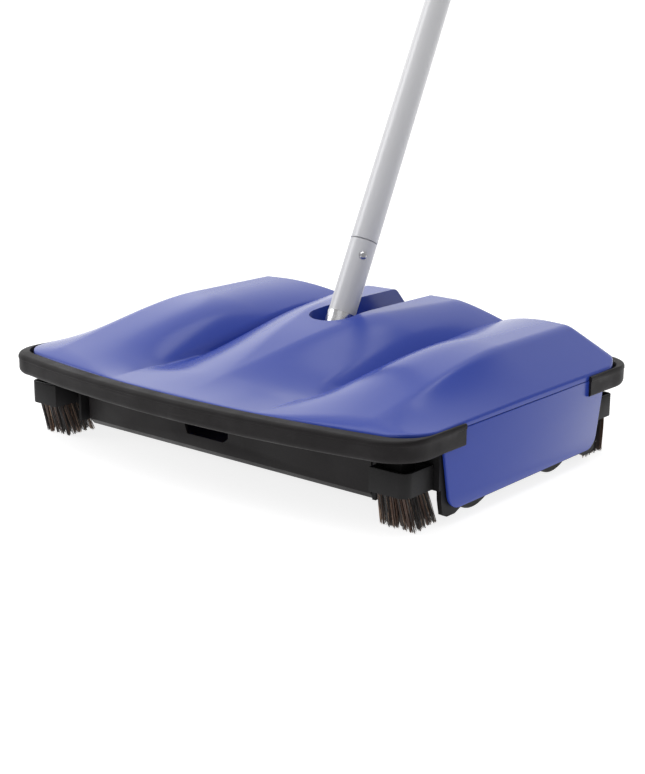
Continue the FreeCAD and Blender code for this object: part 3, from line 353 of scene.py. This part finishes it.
def valley_depth(u, y):
    """Depth of the valley each side of the middle hump, with a crisp crease along its bottom."""
    line = valley_line(y)
    past = y - VALLEY_START
    floor = CLIMB * ease(past / CLIMB_LENGTH) - DIP * ease((past + DIP_LENGTH) / DIP_LENGTH)
    depth = max(hump_height(line, y) - floor, 0.0)
    notch = NOTCH_DEPTH * ease((y + 80.0) / 35.0) * (1 - ease((y - 20.0) / 70.0))
    if u < line:
        inner_edge = INNER_FOOT * min(max((y + 90.0) / 187.0, 0.0), 1.0)
        notch *= max(1 - (line - u) / NOTCH_REACH, 0.0) ** 1.5
        return depth * max(1 - (line - u) / (line - inner_edge), 0.0) ** 1.35 + notch
    notch *= max(1 - (u - line) / NOTCH_HALF, 0.0)
    return depth * max(1 - (u - line) / OUTER_REACH, 0.0) ** (3 - ease((y + 60.0) / 120.0)) + notch


def cover_height(x, y):
    """The cover's outer surface: the same humps, valleys and falls as the CAD solid."""
    u = abs(x)
    end = COVER_CORNER_Y + BOW * (1 - (x / COVER_HALF) ** 2)
    height = hump_height(u, y) - valley_depth(u, y)
    height = soft_least(height, (end - 1.7 - y) * 1.05, 3.0)
    height = soft_least(height, 0.3 + (y + end) * 0.45, 2.0)
    return COVER_RIM + max(height, -1.5)


def end_line(x, half, corner_y, radius):
    """Where the bowed end of an outline lies at a distance from the middle, rounded corners included."""
    y = corner_y + BOW * (1 - (x / half) ** 2)
    over = abs(x) - (half - radius)
    if over > 0:
        y -= radius - math.sqrt(max(radius ** 2 - over ** 2, 0.0))
    return y


def columns(inset, y):
    """Distances from the middle for one row, with a column on each valley's crease."""
    half = COVER_HALF - inset
    radius = COVER_CORNER - inset
    line = valley_line(y)
    stops = [(0.0, 36.0, 16), (36.0, line - NOTCH_HALF, 14), (line - NOTCH_HALF, line, 2),
             (line, line + NOTCH_HALF, 2), (line + NOTCH_HALF, 112.0, 18), (112.0, 134.0, 16),
             (134.0, half - radius, 4)]
    xs = [a + (b - a) * i / n for a, b, n in stops for i in range(n)]
    turns = 14
    xs += [half - radius + radius * math.sin(math.pi / 2 * i / turns) for i in range(turns + 1)]
    return [-x for x in reversed(xs[1:])] + xs


ROWS = [-1 + 2 * i / 150 for i in range(151)]


def cover_grid(inset, drop):
    """A grid of points over the cover's outline, inset from its edge and lowered."""
    half, corner_y, radius = COVER_HALF - inset, COVER_CORNER_Y - inset, COVER_CORNER - inset
    grid = []
    for v in ROWS:
        row = []
        count = len(columns(inset, 0.0))
        for i in range(count):
            y = v * (corner_y + BOW)
            for _ in range(3):
                x = columns_once(inset, y)[i]
                y = v * end_line(x, half, corner_y, radius)
            row.append((x, y, cover_height(x, y) - drop))
        grid.append(row)
    return grid


known_columns = {}


def columns_once(inset, y):
    """The columns of a row, worked out once for each hundredth of a millimetre."""
    key = (inset, round(y, 2))
    if key not in known_columns:
        known_columns[key] = columns(inset, y)
    return known_columns[key]


def border(grid):
    """The grid's border, anticlockwise from its front left corner."""
    front = grid[0]
    right = [row[-1] for row in grid[1:]]
    back = list(reversed(grid[-1][:-1]))
    left = [row[0] for row in reversed(grid[1:-1])]
    return front + right + back + left


def grid_faces(rows, count, start, flip=False):
    faces = []
    for j in range(rows - 1):
        for i in range(count - 1):
            a = start + j * count + i
            face = (a, a + 1, a + count + 1, a + count)
            faces.append(tuple(reversed(face)) if flip else face)
    return faces


def border_numbers(rows, count, start):
    front = [start + i for i in range(count)]
    right = [start + j * count + count - 1 for j in range(1, rows)]
    back = [start + (rows - 1) * count + i for i in range(count - 2, -1, -1)]
    left = [start + j * count for j in range(rows - 2, 0, -1)]
    return front + right + back + left


def slot_outline(grow, steps=10):
    """The handle slot's outline, from its rear right corner round the front to its rear left."""
    half, front, radius = SLOT_HALF + grow, SLOT_FRONT - grow, SLOT_CORNER + grow
    points = []
    for i in range(steps + 1):
        angle = math.pi / 2 * i / steps
        points.append((half - radius + radius * math.cos(angle), front + radius - radius * math.sin(angle)))
    points += [(-x, y) for x, y in reversed(points)]
    return points


def make_cover():
    """One closed shell: top, rounded rim, side wall, underside, with the slot cut through it."""
    turn = 1.3
    top = cover_grid(turn, 0.0)
    rows, count = len(top), len(top[0])
    points = [p for row in top for p in row]
    faces = grid_faces(rows, count, 0)
    ring = border_numbers(rows, count, 0)
    loops = []
    for inset in (0.75, 0.35, 0.1, 0.0):
        drop = turn - math.sqrt(turn ** 2 - (turn - inset) ** 2)
        loops.append([(x, y, z - drop) for x, y, z in border(cover_grid(inset, 0.0))])
    loops.append([(x, y, COVER_FOOT) for x, y, z in loops[-1]])
    loops.append([(x, y, COVER_FOOT) for x, y, z in border(cover_grid(COVER_WALL, 0.0))])
    for loop in loops:
        start = len(points)
        points += loop
        size = len(loop)
        for i in range(size):
            j = (i + 1) % size
            faces.append((ring[j], ring[i], start + i, start + j))
        ring = [start + i for i in range(size)]
    under = cover_grid(COVER_WALL, COVER_WALL)
    start = len(points)
    points += [p for row in under for p in row]
    faces += grid_faces(rows, count, start, flip=True)
    inner = border_numbers(rows, count, start)
    for i in range(len(ring)):
        j = (i + 1) % len(ring)
        faces.append((ring[j], ring[i], inner[i], inner[j]))
    cover = add_mesh("cover_shell", points, faces, MATERIALS["cover_blue"], body="base")
    cut_slot(cover)
    smooth_by_angle(cover, 40)
    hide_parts("top_cover")
    liner()


def cut_slot(cover):
    """Cut the handle slot out of the shell, down to the rim."""
    low, high, back = COVER_RIM + 0.3, 110.0, 160.0
    outline = slot_outline(0.0)
    outline = [(outline[0][0], back)] + outline + [(outline[-1][0], back)]
    count = len(outline)
    points = [(x, y, low) for x, y in outline] + [(x, y, high) for x, y in outline]
    faces = [tuple(range(count)), tuple(reversed(range(count, 2 * count)))]
    faces += [(i, i + count, (i + 1) % count + count, (i + 1) % count) for i in range(count)]
    cutter = add_mesh("slot_cutter", points, faces, MATERIALS["cover_blue"], smooth=False)
    mesh = bmesh.new()
    mesh.from_mesh(cutter.data)
    bmesh.ops.recalc_face_normals(mesh, faces=mesh.faces)
    mesh.to_mesh(cutter.data)
    mesh.free()
    boolean = cover.modifiers.new("slot", "BOOLEAN")
    boolean.operation = "DIFFERENCE"
    boolean.solver = "EXACT"
    boolean.object = cutter
    apply_modifiers(cover)
    bpy.data.objects.remove(cutter)


def liner():
    """The slot's blue inner wall, from the deck up to just under the shell's top."""
    back = 133.0
    inner, outer = slot_outline(0.05), slot_outline(COVER_WALL)
    inner = [(inner[0][0], back)] + inner + [(inner[-1][0], back)]
    outer = [(outer[0][0], back)] + outer + [(outer[-1][0], back)]

    def spread(path):
        """Points along the straight runs too, so that the wall's top follows the humps."""
        filled = []
        for (ax, ay), (bx, by) in zip(path, path[1:]):
            steps = max(int(math.hypot(bx - ax, by - ay) / 3), 1)
            filled += [(ax + (bx - ax) * i / steps, ay + (by - ay) * i / steps) for i in range(steps)]
        return filled + [path[-1]]

    inner = spread(inner)
    wide = spread(outer)
    wide = [wide[round(i * (len(wide) - 1) / (len(inner) - 1))] for i in range(len(inner))]
    base, sink = COVER_RIM + 0.1, COVER_WALL - 0.3
    points = []
    for (ax, ay), (bx, by) in zip(inner, wide):
        roof_a = max(cover_height(ax, ay) - sink, base + 0.3)
        roof_b = max(cover_height(bx, by) - sink, base + 0.3)
        points += [(ax, ay, base), (ax, ay, roof_a), (bx, by, roof_b), (bx, by, base)]
    faces = []
    for i in range(len(inner) - 1):
        a, b = 4 * i, 4 * i + 4
        for k in range(4):
            faces.append((a + k, a + (k + 1) % 4, b + (k + 1) % 4, b + k))
    last = 4 * (len(inner) - 1)
    faces += [(3, 2, 1, 0), (last, last + 1, last + 2, last + 3)]
    wall = add_mesh("slot_liner", points, faces, MATERIALS["cover_blue"], body="base")
    fix_normals(wall)
    smooth_by_angle(wall, 40)


def fix_normals(piece):
    mesh = bmesh.new()
    mesh.from_mesh(piece.data)
    bmesh.ops.recalc_face_normals(mesh, faces=mesh.faces)
    mesh.to_mesh(piece.data)
    mesh.free()


# ------------------------------------------------------------------ bumpers

def bumper_path(half, corner_y, radius, arm, end):
    """A bumper's outline, from the end of its right arm round to the end of its left arm."""
    last = corner_y + BOW * (1 - ((half - radius) / half) ** 2) - radius
    runs, steps, count = 10, 14, 60
    right = [(half, arm + (last - arm) * i / runs) for i in range(runs)]
    for i in range(steps + 1):
        angle = math.pi / 2 * i / steps
        right.append((half - radius + radius * math.cos(angle), last + radius * math.sin(angle)))
    edge = half - radius
    path = list(right)
    for i in range(1, count):
        x = edge - 2 * edge * i / count
        path.append((x, corner_y + BOW * (1 - (x / half) ** 2)))
    path += [(-x, y) for x, y in reversed(right)]
    return [(x, end * y) for x, y in path]


def make_bumper(node, end):
    """A soft bumper: a flat land on top, a rounded edge, and a face set back under a fine ridge."""
    outer = bumper_path(HALF_WIDTH, BUMPER_CORNER_Y, BUMPER_CORNER, BUMPER_ARM, end)
    inner = bumper_path(COVER_HALF + 0.3, COVER_CORNER_Y + 0.3, COVER_CORNER, BUMPER_ARM, end)
    points = []
    profile_size = 0
    for (ox, oy), (ix, iy) in zip(outer, inner):
        thick = math.hypot(ox - ix, oy - iy)
        top, low = min(2.6, thick * 0.7), min(3.2, thick * 0.7)
        section = [(thick, BUMPER_HIGH - 0.5), (thick - 0.4, BUMPER_HIGH)]
        for i in range(7):
            angle = math.pi / 2 * i / 6
            section.append((top - top * math.sin(angle), BUMPER_HIGH - top + top * math.cos(angle)))
        for drop, dent in ((3.0, 0.05), (3.3, FACE_SET), (6.5, 0.50), (9.0, FACE_SET)):
            section.append((dent, BUMPER_HIGH - drop))
        for i in range(7):
            angle = math.pi / 2 * i / 6
            section.append((FACE_SET + low - low * math.cos(angle), BUMPER_LOW + low - low * math.sin(angle)))
        section += [(thick - 0.4, BUMPER_LOW), (thick, BUMPER_LOW + 0.5)]
        profile_size = len(section)
        for inset, z in section:
            share = inset / thick
            points.append((ox + (ix - ox) * share, oy + (iy - oy) * share, z))
    faces = []
    for i in range(len(outer) - 1):
        for k in range(profile_size):
            a = i * profile_size + k
            b = i * profile_size + (k + 1) % profile_size
            faces.append((a, b, b + profile_size, a + profile_size))
    last = (len(outer) - 1) * profile_size
    faces += [tuple(range(profile_size)), tuple(last + k for k in reversed(range(profile_size)))]
    bumper = add_mesh(node + "_vinyl", points, faces, MATERIALS["bumper_vinyl"],
                      body="base")
    fix_normals(bumper)
    smooth_by_angle(bumper, 40)
    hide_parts(node)


# ------------------------------------------------------------------ bristles

def strand(points, faces, marks, mark, path, radius, sides=3):
    """Add one tapering strand along a path."""
    start = len(points)
    for step, (x, y, z) in enumerate(path):
        share = step / (len(path) - 1)
        size = radius * (1 - 0.45 * share)
        direction = Vector(path[min(step + 1, len(path) - 1)]) - Vector(path[max(step - 1, 0)])
        side = direction.cross(Vector((0.31, 0.87, 0.2)))
        if side.length < 1e-6:
            side = Vector((1, 0, 0))
        side.normalize()
        other = direction.cross(side).normalized()
        for i in range(sides):
            angle = 2 * math.pi * i / sides
            offset = side * math.cos(angle) * size + other * math.sin(angle) * size
            points.append((x + offset.x, y + offset.y, z + offset.z))
    for step in range(len(path) - 1):
        for i in range(sides):
            a = start + step * sides + i
            b = start + step * sides + (i + 1) % sides
            faces.append((a, b, b + sides, a + sides))
            marks.append(mark)
    faces.append(tuple(start + i for i in reversed(range(sides))))
    faces.append(tuple(start + (len(path) - 1) * sides + i for i in range(sides)))
    marks += [mark, mark]


def pick(chance):
    """Which strand colour to use: mostly black, some brown, some tan."""
    roll = chance.random()
    if roll < 0.50:
        return 0
    return 1 if roll < 0.80 else 2


def make_corner_brush(name, side, end, seed):
    """A corner tuft: clumps of stiff mixed bristle that flare down and outwards to the floor."""
    chance = random.Random(seed)
    node = "corner_brush_" + name
    low, high = span(node)
    top = high[2] + 3.0
    flare, rake = 3.0, 8.0
    near_x = (low[0] if side > 0 else -high[0]) + flare
    far_x = (high[0] if side > 0 else -low[0]) - flare
    near_y = (low[1] if end > 0 else -high[1]) + flare + rake
    far_y = high[1] if end > 0 else -low[1]
    points, faces, marks = [], [], []
    across, deep = 5, 5
    for i in range(across):
        for j in range(deep):
            u, v = (i + 0.5) / across, (j + 0.5) / deep
            root_x, root_y = near_x + (far_x - near_x) * u, near_y + (far_y - near_y) * v
            lean_x = (u - 0.5) * 5.0 + chance.uniform(-0.8, 0.8)
            lean_y = (v - 0.5) * 5.0 - rake + chance.uniform(-0.8, 0.8)
            clump = pick(chance)
            for _ in range(32):
                angle = chance.uniform(0, 2 * math.pi)
                away = 1.7 * math.sqrt(chance.random())
                spread = chance.uniform(-0.3, 0.9)
                start = Vector((side * (root_x + math.cos(angle) * away),
                                end * (root_y + math.sin(angle) * away), top))
                tip_z = chance.uniform(0.15, 1.6) if chance.random() < 0.88 else chance.uniform(1.6, 3.5)
                tip = Vector((start.x + side * lean_x + math.cos(angle) * spread,
                              start.y + end * lean_y + math.sin(angle) * spread, tip_z))
                bend = Vector((chance.uniform(-0.5, 0.5), chance.uniform(-0.5, 0.5), 0))
                path = []
                for step in range(5):
                    t = step / 4
                    place = start.lerp(tip, t) + bend * math.sin(math.pi * t)
                    path.append(tuple(place))
                mark = clump if clump < 2 and chance.random() < 0.5 else pick(chance)
                strand(points, faces, marks, mark, path, chance.uniform(0.24, 0.40))
    tuft = add_mesh(node + "_bristles", points, faces, STRANDS, body="base")
    for face, mark in zip(tuft.data.polygons, marks):
        face.material_index = mark
    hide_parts(node)


def make_roll_bristles():
    """The roll's tufts: four rows that wind round the core, each a line of small fans."""
    chance = random.Random(71)
    low, high = span("roll_bristles")
    middle_z = (low[2] + high[2]) / 2
    reach = (high[2] - low[2]) / 2
    core = (span("roll_core")[1][2] - span("roll_core")[0][2]) / 2
    points, faces, marks = [], [], []
    rows, pitch, winding = 4, 5.2, math.radians(150)
    count = int((high[0] - low[0] - 6) / pitch)
    for row in range(rows):
        for k in range(count):
            x = low[0] + 4 + k * pitch
            turn = 2 * math.pi * row / rows + winding * abs(k / count - 0.5) * 2
            for _ in range(16):
                angle = turn + chance.uniform(-0.055, 0.055)
                root_x = x + chance.uniform(-1.3, 1.3)
                tip_x = root_x + chance.uniform(-1.6, 1.6)
                tip_angle = angle + chance.uniform(-0.09, 0.09)
                length = reach - chance.uniform(0.1, 1.4)
                path = []
                for step in range(3):
                    t = step / 2
                    r = core - 0.6 + (length - core + 0.6) * t
                    a = angle + (tip_angle - angle) * t
                    path.append((root_x + (tip_x - root_x) * t, r * math.sin(a), middle_z + r * math.cos(a)))
                strand(points, faces, marks, pick(chance), path, chance.uniform(0.18, 0.28))
    tufts = add_mesh("roll_tufts", points, faces, STRANDS, body="roll")
    for face, mark in zip(tufts.data.polygons, marks):
        face.material_index = mark
    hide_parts("roll_bristles")


# ------------------------------------------------------------------ stage, lights and camera

def make_stage():
    """A pale floor that curves up behind, and a plain white surround."""
    shade = Shader("floor_white", (0.45, 0.45, 0.452), 0.8, specular=0.0)
    shade.set("Emission Color", (1.0, 1.0, 1.0, 1.0))
    shade.set("Emission Strength", 0.82)
    profile = [(-6000, 0), (3500, 0)]
    for i in range(1, 13):
        angle = math.pi / 2 * i / 12
        profile.append((3500 + 2000 * math.sin(angle), 2000 - 2000 * math.cos(angle)))
    profile.append((5500, 7000))
    turn = math.radians(39.5)
    points, faces = [], []
    for x in (-9000, 9000):
        for y, z in profile:
            points.append((x * math.cos(turn) - y * math.sin(turn),
                           x * math.sin(turn) + y * math.cos(turn), z))
    count = len(profile)
    faces = [(i, count + i, count + i + 1, i + 1) for i in range(count - 1)]
    floor = add_mesh("studio_floor", points, faces, shade.material)
    world = bpy.data.worlds.new("surround")
    bpy.context.scene.world = world
    world.use_nodes = True
    background = world.node_tree.nodes["Background"]
    background.inputs["Color"].default_value = (1.0, 1.0, 1.0, 1.0)
    background.inputs["Strength"].default_value = 0.38


def area_light(name, place, target, size, power, color=(1, 1, 1)):
    data = bpy.data.lights.new(name, "AREA")
    data.shape = "RECTANGLE"
    data.size, data.size_y = size
    data.energy = power
    data.color = color
    lamp = bpy.data.objects.new(name, data)
    lamp.location = place
    lamp.rotation_euler = (Vector(target) - Vector(place)).to_track_quat("-Z", "Y").to_euler()
    bpy.context.scene.collection.objects.link(lamp)


def make_lights():
    area_light("top_softbox", (-0.3, 0.2, 2.6), (0, 0, 0), (2.6, 2.6), 42)
    area_light("left_softbox", (-1.9, -1.1, 1.5), (0, 0, 0.1), (1.4, 1.8), 20)
    area_light("front_softbox", (0.9, -2.4, 1.0), (0, 0, 0.05), (1.8, 1.2), 5)
    area_light("back_softbox", (-2.4, 1.3, 1.2), (0, 0, 0.05), (1.6, 1.2), 2.6)


def make_camera():
    """The camera stands ahead and to the right of the body, a little above it."""
    azimuth, height, roll = math.radians(39.504), math.radians(14.823), math.radians(0.413)
    place = Vector((0.6091, -0.7350, 0.2893))
    level = math.cos(height)
    ahead = Vector((-math.sin(azimuth) * level, math.cos(azimuth) * level, -math.sin(height)))
    right = Vector((math.cos(azimuth), math.sin(azimuth), 0.0))
    up = right.cross(ahead)
    across = right * math.cos(roll) + up * math.sin(roll)
    above = up * math.cos(roll) - right * math.sin(roll)
    data = bpy.data.cameras.new("camera")
    data.sensor_fit = "VERTICAL"
    data.sensor_height = 36.0
    data.lens = 69.28
    data.clip_end = 50.0
    camera = bpy.data.objects.new("camera", data)
    turned = Matrix((across, above, -ahead)).transposed().to_4x4()
    camera.matrix_world = Matrix.Translation(place) @ turned
    bpy.context.scene.collection.objects.link(camera)
    bpy.context.scene.camera = camera


def dress_frame():
    """Give every CAD node that still shows the material of its slot."""
    slots = {s["node"]: s.get("material_slot") for s in frame["record"]["subparts"]}
    for node, piece in frame["nodes"].items():
        name = slots[node]
        if name in MATERIALS:
            piece.data.materials.clear()
            piece.data.materials.append(MATERIALS[name])


make_camera()
make_stage()
make_lights()
dress_frame()
make_cover()
make_bumper("front_bumper", -1)
make_bumper("rear_bumper", 1)
softened("left_side_panel", "base", "cover_blue", 0.7)
softened("right_side_panel", "base", "cover_blue", 0.7)
for corner in ("front_left", "front_right", "rear_left", "rear_right"):
    softened("corner_block_" + corner, "base", "frame_black", 0.6)
softened("front_dust_pan", "front_pan", "pan_black", 0.4)
softened("rear_dust_pan", "rear_pan", "pan_black", 0.4)
for number, (corner, side, end) in enumerate((("front_left", -1, -1), ("front_right", 1, -1),
                                              ("rear_left", -1, 1), ("rear_right", 1, 1))):
    make_corner_brush(corner, side, end, 11 + number)
make_roll_bristles()
bpy.context.scene.view_settings.view_transform = "Standard"
